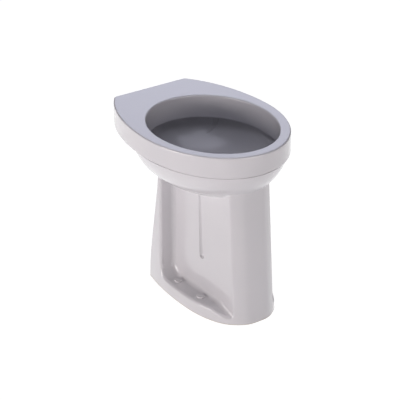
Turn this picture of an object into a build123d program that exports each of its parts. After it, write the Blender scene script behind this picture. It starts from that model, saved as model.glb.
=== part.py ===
from build123d import *
from math import asin, cos, degrees, radians, sin
import os

# Comfort height floor-standing pan without seat or cistern, in millimetres.
# X runs across the pan, the bowl's front faces -Y, Z is up and the floor is Z 0.
# Every ceramic piece keeps the name of the casting or luted-on part that it is.

# Deck and rim
deck_height = 460.0
band_height = 51.0
half_width = 182.5
width_y = -6.0
front_reach = 237.0
back_reach = 306.0
back_y = 243.0
deck_corner = 12.0
rim_wall = 12.0
deck_plate = 12.0
edge_round = 3.5

# Opening of the rim and the skirt that hangs inside the bowl
rim_side = 31.5
rim_front = 29.0
deck_shelf = 94.0
opening_y = -27.0
skirt_drop = 60.0
skirt_wall = 8.0
skirt_round = 2.5

# Bowl
seam_inset = 4.0
seam_gap = 6.0
seam_depth = 4.0
channel_back = 42.5
dish_depth = 98.0
dish_swell = 122.0
dish_angles = (18.0, 30.0, 42.0, 54.0, 66.0, 76.0, 84.0)
bowl_wall = 12.0
bowl_floor = 11.0
sump_y = -90.0
neck_drop = 61.0

# Sump from the dish's floor down: half width, reach to the front and back of sump_y, share of the depth
mouth = (52.0, 39.0, 148.0, -0.028)
shoulder = (37.5, 31.0, 122.0, 0.195)
throat = (34.0, 30.0, 65.0, 0.528)
mouth_wall_share = 0.25

# Flat round flush ports, half hidden by the skirt: their floor lies port_sink past the mouth's edge
port_angle = 27.0
port_radius = 46.0
port_sink = 11.0
port_wall = 4.0
port_tilt = 60.0

# Pedestal
foot_half = 108.5
foot_y = -47.0
foot_front = 182.0
foot_power = 2.4
nose_steps = 5
foot_back = 290.0
foot_end_y = 120.0
foot_corner = 2.0
front_lean = 0.085
pedestal_wall = 11.0
seam_drop = 11.0
column_lap = 39.0

# Back of the pedestal: place in Y and height as a share of column_top
back_profile = [(119.5, 0.0), (109.0, 0.2229), (86.7, 0.5), (66.0, 0.7686), (52.0, 1.0286), (45.0, 1.2)]

# Side recesses with their ledge
panel_x = 60.5
ledge_height = 34.0
ledge_plate = 12.0
ledge_tip_back = 18.0
ledge_slope_run = 61.0
ledge_tip_height = 13.0
ledge_bend = 60.0
recess_back_y = 52.0
recess_back_lean = 5.0
recess_corner = 32.0
recess_fillet = 11.0
side_round = 7.5

# Tapered groove in each panel
groove_y = -71.5
groove_tilt = 2.9
groove_foot_z = 134.0
groove_foot_radius = 10.4
groove_top_radius = 3.5
groove_rise = 3.0

# Trapway and outlet
trap_bore = 30.0
trap_wall = 10.0
trap_bend = 45.0
trap_fall = 90.0
trap_run = 19.0
outlet_drop = 20.0
outlet_radius = 51.0
outlet_bore = 41.0
outlet_back = 121.0
outlet_grip = 36.0
outlet_step = 1.0
outlet_end_wall = 10.0
pipe_gap = 0.4

# Flush inlet
inlet_bore = 27.5
inlet_wall = 11.0
inlet_drop = 92.0
inlet_back = 5.0
boss_depth = 28.0
boss_wall = 8.0
chamber_lead = 2.0
slot_half = 22.0
slot_lap = 5.5
slot_length = 10.0
pocket_rib = 10.0

# Floor fixings: a sleeve, a screw, a washer and a pull-off cap at each point
fixing_front_y = -95.2
fixing_back_y = 1.6
hole_radius = 7.0
sleeve_gap = 0.3
screw_radius = 4.0
shank_radius = 3.5
thread_gap = 1.0
screw_gap = 0.3
screw_lift = 0.5
head_radius = 6.0
head_height = 2.2
drive_width = 1.2
drive_reach = 3.6
drive_depth = 1.2
washer_radius = 8.0
washer_height = 0.8
cap_radius = 10.0
cap_height = 4.2
cap_wall = 1.3
cap_top = 1.0
cap_round = 1.2

# How far a cutting body reaches past what it cuts
margin = 10.0

# Places that follow from the sizes above
band_foot = deck_height - band_height
skirt_foot = deck_height - skirt_drop
channel_roof = deck_height - deck_plate
dish_foot = band_foot - dish_depth
opening_half = half_width - rim_side
opening_front = opening_y - rim_front + front_reach - width_y
opening_back = back_y - deck_shelf - opening_y
dish_back_reach = opening_back + opening_y - width_y + channel_back
neck_height = dish_foot - neck_drop
seam_height = dish_foot - seam_drop
column_top = dish_foot + column_lap
ledge_tip_y = foot_y - foot_front + ledge_tip_back
ledge_break_y = ledge_tip_y + ledge_slope_run
trap_radius = trap_bore + trap_wall
outlet_z = dish_foot - outlet_drop - outlet_radius
trap_dip_z = outlet_z - trap_fall
outlet_start_y = sump_y + 3 * trap_bend + trap_run
outlet_end_y = back_y - outlet_back
inlet_z = deck_height - inlet_drop
slot_front_y = width_y + dish_back_reach - slot_lap
slot_back_y = slot_front_y + slot_length
chamber_end_y = slot_front_y - chamber_lead
boss_end_y = slot_back_y + boss_wall
inlet_end_y = back_y - inlet_back
fixing_x = panel_x + recess_fillet + cap_radius
above = deck_height + margin
aside = half_width + margin


def oval(half, front, back, centre_y, z):
    """Flat egg shape: half an ellipse to the front and half an ellipse to the back."""
    front_arc = EllipticalCenterArc((0, centre_y), half, front, 180, arc_size=180)
    back_arc = EllipticalCenterArc((0, centre_y), half, back, 0, arc_size=180)
    return Pos(0, 0, z) * make_face(front_arc + back_arc)


def deck_outline(inset):
    """The deck seen from above, with its straight back edge, drawn in by inset."""
    whole = oval(half_width - inset, front_reach - inset, back_reach - inset, width_y, 0)
    depth = front_reach + back_reach
    keep = Pos(0, back_y - inset - depth / 2) * Rectangle(2 * aside, depth)
    face = (whole & keep).face()
    corners = face.vertices().group_by(Axis.Y)[-1]
    return fillet(corners, deck_corner)


def opening_outline(outset):
    """The bowl's mouth seen from above, made larger by outset."""
    return oval(opening_half + outset, opening_front + outset, opening_back + outset, opening_y, 0)


def tall_box(x_half, y_low, y_high, z_low, z_high):
    """A box centred on X between two places in Y and two heights."""
    face = Pos(0, (y_low + y_high) / 2, z_low) * Rectangle(2 * x_half, y_high - y_low)
    return extrude(face, z_high - z_low)


def make_rim():
    """Deck, band, inner skirt, the flush channel under the deck and the pocket behind it."""
    band = Pos(0, 0, band_foot) * extrude(deck_outline(0), band_height)
    skirt = Pos(0, 0, skirt_foot) * extrude(opening_outline(skirt_wall), skirt_drop)
    mouth = Pos(0, 0, skirt_foot) * extrude(opening_outline(0), skirt_drop)
    channel_face = oval(half_width - rim_wall, front_reach - rim_wall, dish_back_reach - seam_inset, width_y, 0)
    channel = Pos(0, 0, band_foot) * extrude(channel_face, channel_roof - band_foot)
    notch = tall_box(slot_half, opening_y, slot_back_y, band_foot, channel_roof)
    pocket_start = slot_back_y + pocket_rib
    pocket = Pos(0, 0, band_foot) * extrude(deck_outline(rim_wall), channel_roof - band_foot)
    pocket &= tall_box(aside, pocket_start, back_y, band_foot, channel_roof)
    rim = band - (channel + notch) - pocket
    rim += skirt
    rim -= mouth
    top_edges = rim.edges().filter_by_position(Axis.Z, deck_height, deck_height)
    rim = fillet(top_edges, edge_round)
    foot_edges = rim.edges().filter_by_position(Axis.Z, skirt_foot, skirt_foot)
    return fillet(foot_edges, skirt_round)


def dish_section(angle, wall, floor):
    """One level of the dish. Its side follows an elliptical arc from steep to flat."""
    start = radians(dish_angles[0])
    turn = radians(angle)
    drawn_in = dish_swell * (cos(start) - cos(turn)) + wall + seam_inset
    sink = (dish_depth - floor) * (sin(turn) - sin(start)) / (1 - sin(start))
    return oval(
        half_width - drawn_in,
        front_reach - drawn_in,
        dish_back_reach + seam_inset - drawn_in,
        width_y,
        band_foot - sink,
    )


def dish(wall, floor):
    """The dish as a solid form, smaller by wall at its side and shallower by floor."""
    return loft([dish_section(angle, wall, floor) for angle in dish_angles])


def span_oval(half, y_low, y_high, z):
    """An ellipse given by its two ends in Y."""
    return Pos(0, (y_low + y_high) / 2, z) * Ellipse(half, (y_high - y_low) / 2).face()


def sump(wall):
    """The well under the dish, from its floor down to the trap, larger by wall."""
    floor_z = dish_foot + bowl_floor
    neck = (trap_bore, trap_bore, trap_bore, 1.0)
    levels = []
    for half, front, back, share in (mouth, shoulder, throat, neck):
        grow = wall * mouth_wall_share if share < 0 else wall
        z = floor_z - share * (floor_z - neck_height)
        levels.append(span_oval(half + grow, sump_y - front - grow, sump_y + back + grow, z))
    return loft(levels)


def foot_outline(inset, lean, z):
    """The pedestal seen from above: elliptical sides, a full front and a straight back."""
    half = foot_half - inset
    front = foot_front - inset - lean
    back = foot_back - inset
    end_y = foot_end_y - inset
    end_x = half * (1 - ((end_y - foot_y) / back) ** 2) ** 0.5
    points = []
    for step in range(nose_steps + 1):
        turn = radians(90 * step / nose_steps)
        points.append((half * cos(turn) ** (2 / foot_power), foot_y - front * sin(turn) ** (2 / foot_power)))
    nose = Spline(*points, tangents=[(0, -1), (-1, 0)])
    nose += mirror(nose, Plane.YZ)
    sweep_angle = degrees(asin((end_y - foot_y) / back))
    right = EllipticalCenterArc((0, foot_y), half, back, 0, arc_size=sweep_angle)
    rear = Line(right @ 1, (-end_x, end_y))
    left = EllipticalCenterArc((0, foot_y), half, back, 180 - sweep_angle, arc_size=sweep_angle)
    return Pos(0, 0, z) * make_face(nose + right + rear + left)


def back_cut(inset):
    """Everything in front of the leaning back face, drawn in by inset."""
    points = [(y - inset, share * column_top) for y, share in back_profile]
    top_y, top_z = points[-1]
    front_y = foot_y - 2 * foot_front
    lines = Polyline((top_y, top_z), (front_y, top_z), (front_y, -above), (points[0][0], -above), points[0])
    face = Plane.YZ * make_face(Spline(*points) + lines)
    return Pos(-aside, 0, 0) * extrude(face, 2 * aside)


def envelope(inset, z_low):
    """Outer form of the column and foot, smaller by inset."""
    low = foot_outline(inset, front_lean * z_low, z_low)
    high = foot_outline(inset, front_lean * column_top, column_top)
    return loft([low, high], ruled=True) & back_cut(inset)


def recess(grow):
    """Space cut from each side of the pedestal, made larger by grow for the cavity wall."""
    top_z = back_profile[-1][1] * column_top + margin
    front_y = foot_y - foot_front - margin
    floor_z = ledge_height - (ledge_plate if grow else 0)
    tip_z = max(ledge_tip_height - (ledge_plate if grow else 0), 1)
    back_low = recess_back_y + grow
    back_top = recess_back_y - recess_back_lean + grow
    outline = Polyline(
        (back_low, floor_z),
        (back_top, top_z),
        (front_y, top_z),
        (front_y, tip_z),
        (ledge_tip_y, tip_z),
        (ledge_break_y, floor_z),
        close=True,
    )
    face = make_face(outline)
    corner = face.vertices().sort_by_distance((back_low, floor_z, 0))[0]
    face = fillet([corner], recess_corner + grow)
    slopes = face.vertices().sort_by_distance((ledge_break_y, floor_z, 0))[0]
    face = fillet([slopes], ledge_bend)
    body = extrude(Plane.YZ * face, aside)
    body = Pos(panel_x - grow, 0, 0) * body
    if not grow:
        inner = body.faces().sort_by(Axis.X)[0]
        soft = [edge for edge in inner.edges() if is_recess_edge(edge, top_z)]
        body = fillet(soft, recess_fillet)
    return body + mirror(body, Plane.YZ)


def is_recess_edge(edge, top_z):
    """True for the edges between a panel and its ledge, corner and back."""
    middle = edge.position_at(0.5)
    return middle.Z < top_z - 1 and middle.Y > ledge_tip_y


def groove():
    """Tapered groove with a round foot, to be cut into the right panel."""
    length = band_foot - groove_foot_z
    start = Pos(panel_x + groove_rise, groove_y, groove_foot_z) * Rot(-groove_tilt, 0, 0)
    taper = Pos(0, 0, length / 2) * Cone(groove_foot_radius, groove_top_radius, length)
    return start * (Sphere(groove_foot_radius) + taper)


def fixing_points():
    """Name and place of each of the four floor fixings."""
    places = []
    for row, y in (("front", fixing_front_y), ("back", fixing_back_y)):
        for side, x in (("left", -fixing_x), ("right", fixing_x)):
            places.append((f"{row}_{side}", x, y))
    return places


def make_pedestal_shell():
    """Column and foot as one hollow casting, before it is parted at the seam."""
    outer = envelope(0, 0)
    outer -= recess(0)
    outer = round_pedestal(outer)
    hollow = envelope(pedestal_wall, -margin) - recess(pedestal_wall)
    shell = outer - hollow - groove() - mirror(groove(), Plane.YZ)
    for _, x, y in fixing_points():
        shell -= Pos(x, y, ledge_height) * Cylinder(hole_radius, 3 * ledge_plate)
    shell -= pipe(outlet_radius - outlet_step + pipe_gap, outlet_start_y - pipe_gap, foot_end_y, outlet_z)
    return shell - pipe(trap_radius + pipe_gap, sump_y + 3 * trap_bend, outlet_start_y, outlet_z)


def round_pedestal(body):
    """Rounds the edge that runs round each recess, and the two back corners."""
    least = (column_top - ledge_height) / 3
    tall = [edge for edge in body.edges() if edge.bounding_box().size.Z > least]
    column_edges = [edge for edge in tall if edge.position_at(0.5).Y < ledge_break_y]
    body = fillet(column_edges, side_round)
    tall = [edge for edge in body.edges() if edge.bounding_box().size.Z > least]
    corner_edges = [edge for edge in tall if edge.position_at(0.5).Y > recess_back_y + foot_corner]
    corner_edges = [edge for edge in corner_edges if abs(edge.position_at(0.5).X) > panel_x]
    return fillet(corner_edges, foot_corner)


def port_cutter(side):
    """The space of one flush port: a flat floor square to its axis, with port_wall left behind it."""
    drum = Pos(0, 0, port_radius - port_sink) * Cylinder(port_radius, 2 * port_radius)
    drum = Pos(0, opening_back, skirt_foot) * Rot(port_tilt, 0, 0) * drum
    turned = Pos(0, opening_y, 0) * Rot(0, 0, -side * port_angle) * drum
    return turned & dish(port_wall, bowl_floor)


def seam():
    """The open joint under the band, in front of the boss for the flush inlet."""
    across = 2 * margin
    ring = dish_section(dish_angles[0], -across, 0) - dish_section(dish_angles[0], seam_depth, 0)
    gap = extrude(Pos(0, 0, -seam_gap) * ring, seam_gap)
    return gap & tall_box(aside, -back_y - across, boss_end_y - boss_depth - across, 0, band_foot)


def make_bowl(shell):
    """The dish with its sump, the top of the column and the boss for the flush inlet."""
    outer = dish(0, 0) - seam() + sump(bowl_wall)
    collar = shell & tall_box(aside, -back_y, back_y, seam_height, column_top)
    outer += collar
    boss_face = Circle(inlet_bore + inlet_wall) + Pos(0, inlet_drop / 2) * Rectangle(
        2 * (inlet_bore + inlet_wall), inlet_drop
    )
    boss = extrude(Pos(0, boss_end_y, inlet_z) * Rot(90, 0, 0) * boss_face, boss_depth)
    boss &= tall_box(aside, boss_end_y - boss_depth - margin, boss_end_y, 0, band_foot)
    outer += boss
    bowl = outer - dish(bowl_wall, bowl_floor) - sump(0)
    chamber = Pos(0, (chamber_end_y + boss_end_y) / 2, inlet_z) * Rot(90, 0, 0) * Cylinder(
        inlet_bore, boss_end_y - chamber_end_y
    )
    slot = tall_box(slot_half, slot_front_y, slot_back_y, inlet_z, band_foot)
    return bowl - chamber - slot - port_cutter(-1) - port_cutter(1)


def trap_path():
    """Centre line of the trap: down, round the dip, up and back to the outlet."""
    rise_y = sump_y + 2 * trap_bend
    down = Line((0, sump_y, neck_height), (0, sump_y, trap_dip_z))
    dip = ThreePointArc(
        (0, sump_y, trap_dip_z),
        (0, sump_y + trap_bend, trap_dip_z - trap_bend),
        (0, rise_y, trap_dip_z),
    )
    weir_z = outlet_z - trap_bend
    up = Line((0, rise_y, trap_dip_z), (0, rise_y, weir_z))
    bend_mid = (0, rise_y + trap_bend * (1 - cos(radians(45))), weir_z + trap_bend * sin(radians(45)))
    bend = ThreePointArc((0, rise_y, weir_z), bend_mid, (0, rise_y + trap_bend, outlet_z))
    run = Line((0, rise_y + trap_bend, outlet_z), (0, outlet_start_y, outlet_z))
    return down + dip + up + bend + run


def make_trapway():
    """The S-shaped water way between the sump and the outlet."""
    path = trap_path()
    start = Pos(0, sump_y, neck_height)
    outer = sweep(start * Circle(trap_radius).face(), path=path)
    inner = sweep(start * Circle(trap_bore).face(), path=path)
    return outer - inner


def pipe(radius, y_low, y_high, z):
    """A cylinder along Y."""
    return Pos(0, (y_low + y_high) / 2, z) * Rot(90, 0, 0) * Cylinder(radius, y_high - y_low)


def make_outlet():
    """Horizontal outlet spigot that the soil pipe's connector goes over."""
    body = pipe(outlet_radius - outlet_step, outlet_start_y, outlet_end_y, outlet_z)
    body += pipe(outlet_radius, outlet_end_y - outlet_grip, outlet_end_y, outlet_z)
    body -= pipe(outlet_bore, outlet_start_y + outlet_end_wall, outlet_end_y, outlet_z)
    return body - pipe(trap_bore, outlet_start_y, outlet_end_y, outlet_z)


def make_inlet():
    """Round socket for the flush pipe at the back."""
    return pipe(inlet_bore + inlet_wall, boss_end_y, inlet_end_y, inlet_z) - pipe(
        inlet_bore, boss_end_y, inlet_end_y, inlet_z
    )


def rod(radius, z_low, z_high):
    """A cylinder between two heights."""
    return Pos(0, 0, (z_low + z_high) / 2) * Cylinder(radius, z_high - z_low)


def make_sleeve():
    """Plastic sleeve that keeps the screw off the ceramic."""
    low = ledge_height - ledge_plate
    return rod(hole_radius - sleeve_gap, low, ledge_height) - rod(screw_radius + screw_gap, low, ledge_height)


def make_washer():
    """Flat steel washer on the ledge."""
    high = ledge_height + washer_height
    return rod(washer_radius, ledge_height, high) - rod(screw_radius + screw_gap, ledge_height, high)


def make_screw():
    """Floor screw with a rolled thread, a thinner shank, a low head and a cross drive."""
    thread_top = ledge_height - ledge_plate - thread_gap
    seat = ledge_height + washer_height
    top = seat + head_height
    screw = rod(screw_radius, screw_lift, thread_top) + rod(shank_radius, thread_top, seat)
    screw += rod(head_radius, seat, top)
    for turn in (0, 90):
        slot = Box(2 * drive_reach, drive_width, 2 * drive_depth)
        screw -= Pos(0, 0, top) * Rot(0, 0, turn) * slot
    return screw


def make_cap():
    """Round cap that hides the screw and pulls off upwards."""
    top = ledge_height + cap_height
    cap = rod(cap_radius, ledge_height, top)
    rim_edge = cap.edges().sort_by(Axis.Z)[-1]
    cap = fillet(rim_edge, cap_round)
    return cap - rod(cap_radius - cap_wall, ledge_height, top - cap_top)


os.makedirs("parts", exist_ok=True)
pedestal_shell = make_pedestal_shell()
pieces = {
    "rim_ring": make_rim(),
    "bowl": make_bowl(pedestal_shell),
    "pedestal": pedestal_shell & tall_box(aside, -back_y, back_y, 0, seam_height),
    "trapway": make_trapway(),
    "outlet_spigot": make_outlet(),
    "inlet_horn": make_inlet(),
}
for place, x, y in fixing_points():
    pieces[f"screw_sleeve_{place}"] = Pos(x, y, 0) * make_sleeve()
    pieces[f"floor_screw_{place}"] = Pos(x, y, 0) * make_screw()
    pieces[f"washer_{place}"] = Pos(x, y, 0) * make_washer()
    pieces[f"cover_cap_{place}"] = Pos(x, y, 0) * make_cap()
for name, piece in pieces.items():
    export_step(piece, f"parts/{name}.step")
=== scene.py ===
from math import pi, radians, sin

import bmesh
import bpy
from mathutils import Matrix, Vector


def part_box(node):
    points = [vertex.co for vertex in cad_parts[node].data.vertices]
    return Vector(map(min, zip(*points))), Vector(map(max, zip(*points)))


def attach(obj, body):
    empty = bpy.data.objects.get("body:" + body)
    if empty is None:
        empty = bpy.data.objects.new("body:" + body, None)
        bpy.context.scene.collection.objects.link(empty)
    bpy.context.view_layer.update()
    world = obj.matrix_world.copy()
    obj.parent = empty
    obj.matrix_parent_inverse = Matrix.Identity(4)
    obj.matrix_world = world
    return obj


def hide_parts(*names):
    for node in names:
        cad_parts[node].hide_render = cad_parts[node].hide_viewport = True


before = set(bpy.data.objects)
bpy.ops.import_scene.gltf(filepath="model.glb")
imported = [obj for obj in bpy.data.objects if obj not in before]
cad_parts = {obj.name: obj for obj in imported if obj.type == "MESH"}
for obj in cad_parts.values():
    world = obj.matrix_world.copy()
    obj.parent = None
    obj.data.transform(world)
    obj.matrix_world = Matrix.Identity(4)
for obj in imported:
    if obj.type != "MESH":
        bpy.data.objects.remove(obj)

bl_info = {
    "name": "Comfort Height Floor Standing Pan",
    "version": (1, 0, 0),
    "blender": (4, 5, 0),
    "location": "View3D > Sidebar > Pan",
    "description": "Glazes the cast pan, models its floor fixing covers and sets the studio",
    "category": "Object",
}

MM = 0.001
PLACES = ("front_left", "front_right", "back_left", "back_right")
CAST_PIECES = ("rim_ring", "bowl", "pedestal", "trapway", "outlet_spigot", "inlet_horn")

WHITE = (1, 1, 1)
WARM_WHITE = "#FFF8F8"
COOL_WHITE = "#EDEEFF"

# Name, setting of its power, place, width and height in metres, and tint of each soft box
SOFT_BOXES = (
    ("key_soft_box", "key_power", (-3.0, 0.2, 0.55), (2.4, 0.9), WARM_WHITE),
    ("front_soft_box", "front_power", (0.3, -3.2, 0.55), (2.4, 0.9), WARM_WHITE),
    ("top_soft_box", "top_power", (0.0, 0.0, 3.2), (2.4, 2.4), COOL_WHITE),
    ("back_soft_box", "back_power", (1.9, 2.6, 2.2), (2.2, 2.2), COOL_WHITE),
)
LAMP_TARGET = (0, 0, 0.23)

CAMERA_PLACE = (-2.0638, -2.8953, 2.0344)
CAMERA_TARGET = (-0.0264, -0.0158, 0.2532)
CAMERA_REACH = 50
FLOOR_SIZE = 16


def linear(code):
    """The linear colour of an sRGB hex value such as #E4E4E6."""
    channels = [int(code[i:i + 2], 16) / 255 for i in (1, 3, 5)]
    return tuple(c / 12.92 if c <= 0.04045 else ((c + 0.055) / 1.055) ** 2.4 for c in channels)


def add_node(tree, kind, settings=None, links=None):
    """Adds a node to the tree, sets its properties and sockets, and links sockets to it."""
    made = tree.nodes.new(kind)
    for name, value in (settings or {}).items():
        if isinstance(name, str) and hasattr(made, name):
            setattr(made, name, value)
        else:
            made.inputs[name].default_value = value
    for name, source in (links or {}).items():
        tree.links.new(source, made.inputs[name])
    return made


def new_material(name):
    """An empty node material and its tree."""
    material = bpy.data.materials.new(name)
    material.use_nodes = True
    material.node_tree.nodes.clear()
    return material, material.node_tree


def close_material(tree, shader, bump=None):
    """Joins the shader to the material's output, over a bump where one is given."""
    if bump is not None:
        tree.links.new(bump.outputs["Normal"], shader.inputs["Normal"])
    add_node(tree, "ShaderNodeOutputMaterial", links={"Surface": shader.outputs[0]})


def give(objects, material):
    """Puts the material in the only slot of each object."""
    for obj in objects:
        obj.data.materials.clear()
        obj.data.materials.append(material)


def deselect():
    """Leaves nothing selected, so that an operator acts on the new piece alone."""
    if bpy.context.object and bpy.context.object.mode != "OBJECT":
        bpy.ops.object.mode_set(mode="OBJECT")
    bpy.ops.object.select_all(action="DESELECT")


def take(obj):
    """Makes the object the only selected one and the active one."""
    deselect()
    obj.select_set(True)
    bpy.context.view_layer.objects.active = obj


def edit_faces(obj, test):
    """Goes into edit mode with only those faces selected whose centre and normal pass the test."""
    take(obj)
    bpy.ops.object.mode_set(mode="EDIT")
    bpy.ops.mesh.select_mode(type="FACE")
    bpy.ops.mesh.select_all(action="DESELECT")
    mesh = bmesh.from_edit_mesh(obj.data)
    for face in mesh.faces:
        face.select_set(bool(test(face.calc_center_median(), face.normal)))
    bmesh.update_edit_mesh(obj.data)


def name_piece(name):
    """Names the object that a primitive operator has just made, and its mesh."""
    obj = bpy.context.object
    obj.name = name
    obj.data.name = name
    return obj


def settle(obj, smooth_angle):
    """Puts the object's place into its mesh and smooths its shading up to the angle."""
    take(obj)
    bpy.ops.object.transform_apply(location=True, rotation=True, scale=True)
    bpy.ops.object.shade_smooth_by_angle(angle=radians(smooth_angle))


def apply_modifier(obj, kind, **settings):
    """Adds a modifier with its settings and applies it."""
    take(obj)
    modifier = obj.modifiers.new(kind.title(), kind)
    for name, value in settings.items():
        setattr(modifier, name, value)
    bpy.ops.object.modifier_apply(modifier=modifier.name)


def copy_piece(obj, name, shift):
    """A copy of the piece with its own mesh, moved by the shift."""
    copy = obj.copy()
    copy.data = obj.data.copy()
    copy.name = name
    copy.data.name = name
    bpy.context.scene.collection.objects.link(copy)
    take(copy)
    bpy.ops.transform.translate(value=shift)
    bpy.ops.object.transform_apply(location=True, rotation=True, scale=True)
    return copy


class PanCeramicProperties(bpy.types.PropertyGroup):
    """Colours and surface sizes of the glazed ware."""

    glaze_colour: bpy.props.FloatVectorProperty(
        name="Glaze", description="Colour of the fired glaze over the white body",
        subtype="COLOR", size=3, min=0, max=1, default=linear("#E2E0E2"))
    cloud_colour: bpy.props.FloatVectorProperty(
        name="Clouded glaze", description="Colour where the glaze lies a little thicker",
        subtype="COLOR", size=3, min=0, max=1, default=linear("#DCDBDE"))
    biscuit_colour: bpy.props.FloatVectorProperty(
        name="Biscuit", description="Colour of the bare fired body at the foot",
        subtype="COLOR", size=3, min=0, max=1, default=linear("#CFC6B8"))
    cloud_size: bpy.props.FloatProperty(
        name="Cloud size", description="Width of a patch of thicker glaze",
        unit="LENGTH", min=0.01, max=0.3, default=80 * MM)
    ripple_size: bpy.props.FloatProperty(
        name="Ripple size", description="Width of one ripple of the orange peel in the glaze",
        unit="LENGTH", min=0.001, max=0.05, default=9 * MM)
    ripple_depth: bpy.props.FloatProperty(
        name="Ripple depth", description="Height of the orange peel in the glaze",
        unit="LENGTH", min=0, max=0.001, default=0.03 * MM)
    glaze_roughness: bpy.props.FloatProperty(
        name="Glaze roughness", description="Roughness under the clear top of the glaze",
        subtype="FACTOR", min=0, max=1, default=0.28)
    biscuit_roughness: bpy.props.FloatProperty(
        name="Biscuit roughness", description="Roughness of the bare fired body at the foot",
        subtype="FACTOR", min=0, max=1, default=0.85)
    bare_height: bpy.props.FloatProperty(
        name="Bare foot height", description="Height above the floor that is wiped free of glaze",
        unit="LENGTH", min=0, max=0.02, default=1.6 * MM)


class PanFixingProperties(bpy.types.PropertyGroup):
    """Colours and sizes of the covers, screws, washers and sleeves."""

    cap_colour: bpy.props.FloatVectorProperty(
        name="Cap", description="Colour of the moulded screw covers",
        subtype="COLOR", size=3, min=0, max=1, default=linear("#E2E0E2"))
    sleeve_colour: bpy.props.FloatVectorProperty(
        name="Sleeve", description="Colour of the moulded screw sleeves",
        subtype="COLOR", size=3, min=0, max=1, default=linear("#D9D7CC"))
    steel_colour: bpy.props.FloatVectorProperty(
        name="Zinc plate", description="Colour of the zinc plate on screws and washers",
        subtype="COLOR", size=3, min=0, max=1, default=linear("#BFC2C4"))
    crown: bpy.props.FloatProperty(
        name="Cap crown", description="Rise of the cap's top from its edge to its middle",
        unit="LENGTH", min=0, max=0.002, default=0.7 * MM)
    cap_wall: bpy.props.FloatProperty(
        name="Cap wall", description="Thickness of the cap's skirt",
        unit="LENGTH", min=0.0005, max=0.003, default=1.3 * MM)
    cap_top: bpy.props.FloatProperty(
        name="Cap top", description="Thickness of the cap's top",
        unit="LENGTH", min=0.0005, max=0.002, default=1.0 * MM)
    edge_bevel: bpy.props.FloatProperty(
        name="Edge bevel", description="Width of the small rounding along the cap's edges",
        unit="LENGTH", min=0, max=0.001, default=0.22 * MM)
    notch_width: bpy.props.FloatProperty(
        name="Notch width", description="Width of the slot in the skirt that a blade lifts the cap by",
        unit="LENGTH", min=0.001, max=0.006, default=3.4 * MM)
    notch_height: bpy.props.FloatProperty(
        name="Notch height", description="Height of the slot in the skirt",
        unit="LENGTH", min=0.0005, max=0.003, default=1.0 * MM)
    notch_start: bpy.props.FloatProperty(
        name="Notch start", description="How far under the cap the cutter of the slot starts",
        unit="LENGTH", min=0.00005, max=0.001, default=0.1 * MM)


class PanStageProperties(bpy.types.PropertyGroup):
    """Floor, lamps, surround and camera."""

    floor_colour: bpy.props.FloatVectorProperty(
        name="Floor", description="Colour of the studio floor",
        subtype="COLOR", size=3, min=0, max=1, default=linear("#FAFAFA"))
    floor_glow: bpy.props.FloatProperty(
        name="Floor glow", description="Strength of the white that the camera sees on the floor",
        min=0, max=2, default=1.15)
    floor_glow_share: bpy.props.FloatProperty(
        name="Floor glow share", description="Share of that white. The rest is paint, which keeps the shadow",
        subtype="FACTOR", min=0, max=1, default=0.86)
    key_power: bpy.props.FloatProperty(
        name="Key lamp", description="Power of the large soft lamp at the pan's left side",
        unit="POWER", min=0, max=2000, default=52)
    front_power: bpy.props.FloatProperty(
        name="Front lamp", description="Power of the soft lamp in front of the pan",
        unit="POWER", min=0, max=2000, default=36)
    top_power: bpy.props.FloatProperty(
        name="Top lamp", description="Power of the soft lamp over the pan",
        unit="POWER", min=0, max=2000, default=20)
    back_power: bpy.props.FloatProperty(
        name="Back lamp", description="Power of the cool soft lamp behind the pan, which shines on the deck",
        unit="POWER", min=0, max=2000, default=27)
    room_colour: bpy.props.FloatVectorProperty(
        name="Room colour", description="Colour of the even light from all sides",
        subtype="COLOR", size=3, min=0, max=1, default=linear("#F6F8FF"))
    world_strength: bpy.props.FloatProperty(
        name="Room light", description="Strength of the even light from all sides",
        min=0, max=2, default=0.03)
    camera_lens: bpy.props.FloatProperty(
        name="Lens", description="Focal length of the camera",
        unit="CAMERA", min=10, max=1000, default=144)
    sensor_width: bpy.props.FloatProperty(
        name="Sensor", description="Width of the camera's sensor",
        unit="CAMERA", min=5, max=100, default=36)


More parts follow.
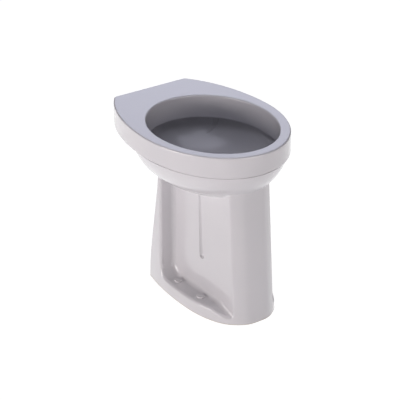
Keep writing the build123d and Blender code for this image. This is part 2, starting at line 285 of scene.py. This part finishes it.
def glazed_vitreous_china(choice):
    """Vitreous sanitary ware, slip cast, glazed and fired.

    A clear hard top layer with a faint orange peel gives broad soft reflections, the body below is
    an even white with slow clouds, and the foot is wiped bare so that it doesn't stick in the kiln.
    """
    edge_wave = 14 * MM
    edge_wander = 1.2 * MM
    edge_low = choice.bare_height - 0.9 * MM
    edge_high = choice.bare_height - 0.4 * MM
    material, tree = new_material("glazed_vitreous_china")
    place = add_node(tree, "ShaderNodeTexCoord")
    clouds = add_node(
        tree, "ShaderNodeTexNoise",
        {"Scale": 1 / choice.cloud_size, "Detail": 2.0, "Roughness": 0.45},
        {"Vector": place.outputs["Object"]})
    glaze = add_node(
        tree, "ShaderNodeMix",
        {"data_type": "RGBA", 6: (*choice.glaze_colour, 1), 7: (*choice.cloud_colour, 1)},
        {0: clouds.outputs["Fac"]})
    height = add_node(tree, "ShaderNodeSeparateXYZ", links={0: place.outputs["Object"]})
    wander = add_node(
        tree, "ShaderNodeTexNoise", {"Scale": 1 / edge_wave, "Detail": 3.0},
        {"Vector": place.outputs["Object"]})
    lift = add_node(
        tree, "ShaderNodeMath",
        {"operation": "MULTIPLY_ADD", 1: -edge_wander},
        {0: wander.outputs["Fac"], 2: height.outputs["Z"]})
    glazed = add_node(
        tree, "ShaderNodeMapRange",
        {"From Min": edge_low, "From Max": edge_high},
        {"Value": lift.outputs[0]})
    colour = add_node(
        tree, "ShaderNodeMix",
        {"data_type": "RGBA", 6: (*choice.biscuit_colour, 1)},
        {0: glazed.outputs[0], 7: glaze.outputs[2]})
    rough = add_node(
        tree, "ShaderNodeMapRange", {"To Min": choice.biscuit_roughness, "To Max": choice.glaze_roughness},
        {"Value": glazed.outputs[0]})
    peel = add_node(
        tree, "ShaderNodeTexNoise",
        {"Scale": 1 / choice.ripple_size, "Detail": 1.5, "Roughness": 0.4},
        {"Vector": place.outputs["Object"]})
    bump = add_node(
        tree, "ShaderNodeBump",
        {"Strength": 1.0, "Distance": choice.ripple_depth},
        {"Height": peel.outputs["Fac"]})
    shader = add_node(
        tree, "ShaderNodeBsdfPrincipled",
        {"IOR": 1.5, "Coat Weight": 0.8, "Coat Roughness": 0.08, "Coat IOR": 1.5},
        {"Base Color": colour.outputs[2], "Roughness": rough.outputs[0]})
    close_material(tree, shader, bump)
    return material


def moulded_polypropylene(name, colour, roughness, grain_size):
    """Injection-moulded polypropylene: an even colour, a soft sheen and the mould's fine spark texture."""
    flow_size = 6 * MM
    flow_shade = 0.93
    grain_depth = 0.02 * MM
    smoother, rougher = roughness - 0.05, roughness + 0.07
    material, tree = new_material(name)
    place = add_node(tree, "ShaderNodeTexCoord")
    flow = add_node(
        tree, "ShaderNodeTexNoise", {"Scale": 1 / flow_size, "Detail": 2.0},
        {"Vector": place.outputs["Object"]})
    tone = add_node(
        tree, "ShaderNodeMix",
        {"data_type": "RGBA", 6: (*colour, 1), 7: (*[flow_shade * c for c in colour], 1)},
        {0: flow.outputs["Fac"]})
    grain = add_node(
        tree, "ShaderNodeTexNoise", {"Scale": 1 / grain_size, "Detail": 3.0},
        {"Vector": place.outputs["Object"]})
    bump = add_node(
        tree, "ShaderNodeBump", {"Strength": 0.6, "Distance": grain_depth},
        {"Height": grain.outputs["Fac"]})
    rough = add_node(
        tree, "ShaderNodeMapRange", {"To Min": smoother, "To Max": rougher},
        {"Value": grain.outputs["Fac"]})
    shader = add_node(
        tree, "ShaderNodeBsdfPrincipled", {"IOR": 1.49},
        {"Base Color": tone.outputs[2], "Roughness": rough.outputs[0]})
    close_material(tree, shader, bump)
    return material


def zinc_plated_steel(colour):
    """Cold-formed steel with bright zinc plate, slightly mottled by the crystals of the plating."""
    crystal_size = 1.2 * MM
    crystal_shade = 0.8
    brightest, dullest = 0.26, 0.4
    material, tree = new_material("zinc_plated_steel")
    place = add_node(tree, "ShaderNodeTexCoord")
    crystals = add_node(
        tree, "ShaderNodeTexVoronoi", {"Scale": 1 / crystal_size},
        {"Vector": place.outputs["Object"]})
    tone = add_node(
        tree, "ShaderNodeMix",
        {"data_type": "RGBA", 6: (*colour, 1), 7: (*[crystal_shade * c for c in colour], 1)},
        {0: crystals.outputs["Distance"]})
    rough = add_node(
        tree, "ShaderNodeMapRange", {"To Min": brightest, "To Max": dullest},
        {"Value": crystals.outputs["Distance"]})
    shader = add_node(
        tree, "ShaderNodeBsdfPrincipled", {"Metallic": 1.0},
        {"Base Color": tone.outputs[2], "Roughness": rough.outputs[0]})
    close_material(tree, shader)
    return material


class PAN_OT_glaze_ware(bpy.types.Operator):
    """Glazes the six cast pieces of the pan"""

    bl_idname = "pan.glaze_ware"
    bl_label = "Glaze the Ware"

    def execute(self, context):
        give([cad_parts[n] for n in CAST_PIECES], glazed_vitreous_china(context.scene.pan_ceramic))
        return {"FINISHED"}


class PAN_OT_plate_fixings(bpy.types.Operator):
    """Gives the screws, washers and sleeves their metal and plastic"""

    bl_idname = "pan.plate_fixings"
    bl_label = "Finish the Floor Fixings"

    def execute(self, context):
        choice = context.scene.pan_fixings
        steel = zinc_plated_steel(choice.steel_colour)
        sleeve = moulded_polypropylene(
            "moulded_polypropylene_natural", choice.sleeve_colour, roughness=0.45, grain_size=0.5 * MM)
        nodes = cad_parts
        give([nodes[f"{kind}_{place}"] for kind in ("floor_screw", "washer") for place in PLACES], steel)
        give([nodes[f"screw_sleeve_{place}"] for place in PLACES], sleeve)
        return {"FINISHED"}


class PAN_OT_cover_caps(bpy.types.Operator):
    """Models the crowned snap-on cover of a floor screw and sets one over each of the four"""

    bl_idname = "pan.cover_caps"
    bl_label = "Model the Cover Caps"

    def execute(self, context):
        choice = context.scene.pan_fixings
        sides = 72
        rings = 6
        sharp_angle = 35
        flat = 0.9
        low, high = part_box(f"cover_cap_{PLACES[0]}")
        radius = (high.x - low.x) / 2
        middle = Vector(((low.x + high.x) / 2, (low.y + high.y) / 2, low.z))
        edge_height = high.z - low.z - choice.crown
        deselect()
        bpy.ops.mesh.primitive_cylinder_add(
            vertices=sides, radius=radius, depth=edge_height,
            location=middle + Vector((0, 0, edge_height / 2)))
        cap = name_piece(f"snap_cap_{PLACES[0]}")
        edit_faces(cap, lambda centre, normal: normal.z < -flat)
        bpy.ops.mesh.inset(thickness=choice.cap_wall)
        bpy.ops.mesh.extrude_region_move(
            TRANSFORM_OT_translate={"value": (0, 0, edge_height - choice.cap_top)})
        edit_faces(cap, lambda centre, normal: normal.z > flat and centre.z > 0)
        risen = 0.0
        for ring in range(rings):
            share = (ring + 1) / rings
            height = choice.crown * sin(share * pi / 2)
            bpy.ops.mesh.inset(thickness=radius / (rings + 1))
            bpy.ops.transform.translate(value=(0, 0, height - risen))
            risen = height
        bpy.ops.object.mode_set(mode="OBJECT")
        deselect()
        cutter_height = choice.notch_height + choice.notch_start
        cutter_depth = 1.6 * choice.cap_wall
        bpy.ops.mesh.primitive_cube_add(
            size=1, location=middle + Vector((0, radius, cutter_height / 2 - choice.notch_start)),
            scale=(choice.notch_width, cutter_depth, cutter_height))
        cutter = name_piece("notch_cutter")
        apply_modifier(cap, "BOOLEAN", object=cutter, operation="DIFFERENCE", solver="EXACT")
        bpy.data.objects.remove(cutter)
        apply_modifier(
            cap, "BEVEL", width=choice.edge_bevel, segments=3,
            limit_method="ANGLE", angle_limit=radians(sharp_angle))
        settle(cap, sharp_angle)
        caps = [cap]
        for place in PLACES[1:]:
            other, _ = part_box(f"cover_cap_{place}")
            caps.append(copy_piece(cap, f"snap_cap_{place}", other - low))
        give(caps, moulded_polypropylene(
            "moulded_polypropylene_white", choice.cap_colour, roughness=0.3, grain_size=0.4 * MM))
        for place, obj in zip(PLACES, caps):
            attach(obj, f"cap_{place}")
            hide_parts(f"cover_cap_{place}")
        return {"FINISHED"}


def aim(obj, place, target):
    """Sets the object at the place, looking at the target."""
    obj.location = place
    obj.rotation_euler = (Vector(target) - Vector(place)).to_track_quat("-Z", "Y").to_euler()


def soft_lamp(name, place, target, size, power, colour):
    """A soft box, size being its width and its height."""
    deselect()
    bpy.ops.object.light_add(type="AREA", location=place)
    lamp = bpy.context.object
    lamp.name = name
    lamp.data.shape = "RECTANGLE"
    lamp.data.size, lamp.data.size_y = size
    lamp.data.energy = power
    lamp.data.color = colour
    aim(lamp, place, target)
    return lamp


class PAN_OT_studio(bpy.types.Operator):
    """Sets the pale floor, the soft lamps, the white surround and the camera"""

    bl_idname = "pan.studio"
    bl_label = "Set the Studio"

    def execute(self, context):
        choice = context.scene.pan_stage
        deselect()
        bpy.ops.mesh.primitive_plane_add(size=FLOOR_SIZE, location=(0, 0, 0))
        floor = name_piece("studio_floor")
        material, tree = new_material("matt_painted_floor")
        ray = add_node(tree, "ShaderNodeLightPath")
        seen = add_node(
            tree, "ShaderNodeMath", {"operation": "MAXIMUM"},
            {0: ray.outputs["Is Camera Ray"], 1: ray.outputs["Is Glossy Ray"]})
        share = add_node(
            tree, "ShaderNodeMath", {"operation": "MULTIPLY", 1: choice.floor_glow_share},
            {0: seen.outputs[0]})
        paint = add_node(
            tree, "ShaderNodeBsdfPrincipled",
            {"Base Color": (*choice.floor_colour, 1), "Roughness": 0.9, "Specular IOR Level": 0.2})
        white = add_node(
            tree, "ShaderNodeEmission", {"Color": (*WHITE, 1), "Strength": choice.floor_glow})
        mixed = add_node(
            tree, "ShaderNodeMixShader",
            links={0: share.outputs[0], 1: paint.outputs[0], 2: white.outputs[0]})
        close_material(tree, mixed)
        give([floor], material)

        world = bpy.data.worlds.new("studio_surround")
        context.scene.world = world
        world.use_nodes = True
        tree = world.node_tree
        tree.nodes.clear()
        ray = add_node(tree, "ShaderNodeLightPath")
        seen = add_node(
            tree, "ShaderNodeMath", {"operation": "MAXIMUM"},
            {0: ray.outputs["Is Camera Ray"], 1: ray.outputs["Is Transmission Ray"]})
        room = add_node(
            tree, "ShaderNodeBackground",
            {"Color": (*choice.room_colour, 1), "Strength": choice.world_strength})
        white = add_node(tree, "ShaderNodeBackground", {"Color": (*WHITE, 1), "Strength": 1.0})
        mixed = add_node(
            tree, "ShaderNodeMixShader",
            links={0: seen.outputs[0], 1: room.outputs[0], 2: white.outputs[0]})
        add_node(tree, "ShaderNodeOutputWorld", links={"Surface": mixed.outputs[0]})

        for name, power, place, size, tint in SOFT_BOXES:
            soft_lamp(name, place, LAMP_TARGET, size, getattr(choice, power), linear(tint))

        deselect()
        bpy.ops.object.camera_add()
        camera = bpy.context.object
        camera.name = "photograph_camera"
        camera.data.lens = choice.camera_lens
        camera.data.sensor_width = choice.sensor_width
        camera.data.clip_end = CAMERA_REACH
        aim(camera, CAMERA_PLACE, CAMERA_TARGET)
        context.scene.camera = camera
        context.scene.view_settings.view_transform = "Standard"
        return {"FINISHED"}


class PAN_PT_workshop(bpy.types.Panel):
    """Lists the pan's colours and sizes and the steps that dress it"""

    bl_idname = "PAN_PT_workshop"
    bl_label = "Pan"
    bl_space_type = "VIEW_3D"
    bl_region_type = "UI"
    bl_category = "Pan"

    def draw(self, context):
        for group, steps in (
            (context.scene.pan_ceramic, ("pan.glaze_ware",)),
            (context.scene.pan_fixings, ("pan.plate_fixings", "pan.cover_caps")),
            (context.scene.pan_stage, ("pan.studio",)),
        ):
            box = self.layout.box()
            for key in group.__annotations__:
                box.prop(group, key)
            for step in steps:
                box.operator(step)


CLASSES = (
    PanCeramicProperties, PanFixingProperties, PanStageProperties,
    PAN_OT_glaze_ware, PAN_OT_plate_fixings, PAN_OT_cover_caps, PAN_OT_studio, PAN_PT_workshop,
)


def register():
    """Makes the classes and their settings known to Blender."""
    for cls in CLASSES:
        bpy.utils.register_class(cls)
    bpy.types.Scene.pan_ceramic = bpy.props.PointerProperty(type=PanCeramicProperties)
    bpy.types.Scene.pan_fixings = bpy.props.PointerProperty(type=PanFixingProperties)
    bpy.types.Scene.pan_stage = bpy.props.PointerProperty(type=PanStageProperties)


def unregister():
    """Takes the settings and classes away again."""
    del bpy.types.Scene.pan_stage
    del bpy.types.Scene.pan_fixings
    del bpy.types.Scene.pan_ceramic
    for cls in reversed(CLASSES):
        bpy.utils.unregister_class(cls)


def main():
    """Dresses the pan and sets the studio."""
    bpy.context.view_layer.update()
    register()
    bpy.ops.pan.glaze_ware()
    bpy.ops.pan.plate_fixings()
    bpy.ops.pan.cover_caps()
    bpy.ops.pan.studio()


if __name__ == "__main__":
    main()
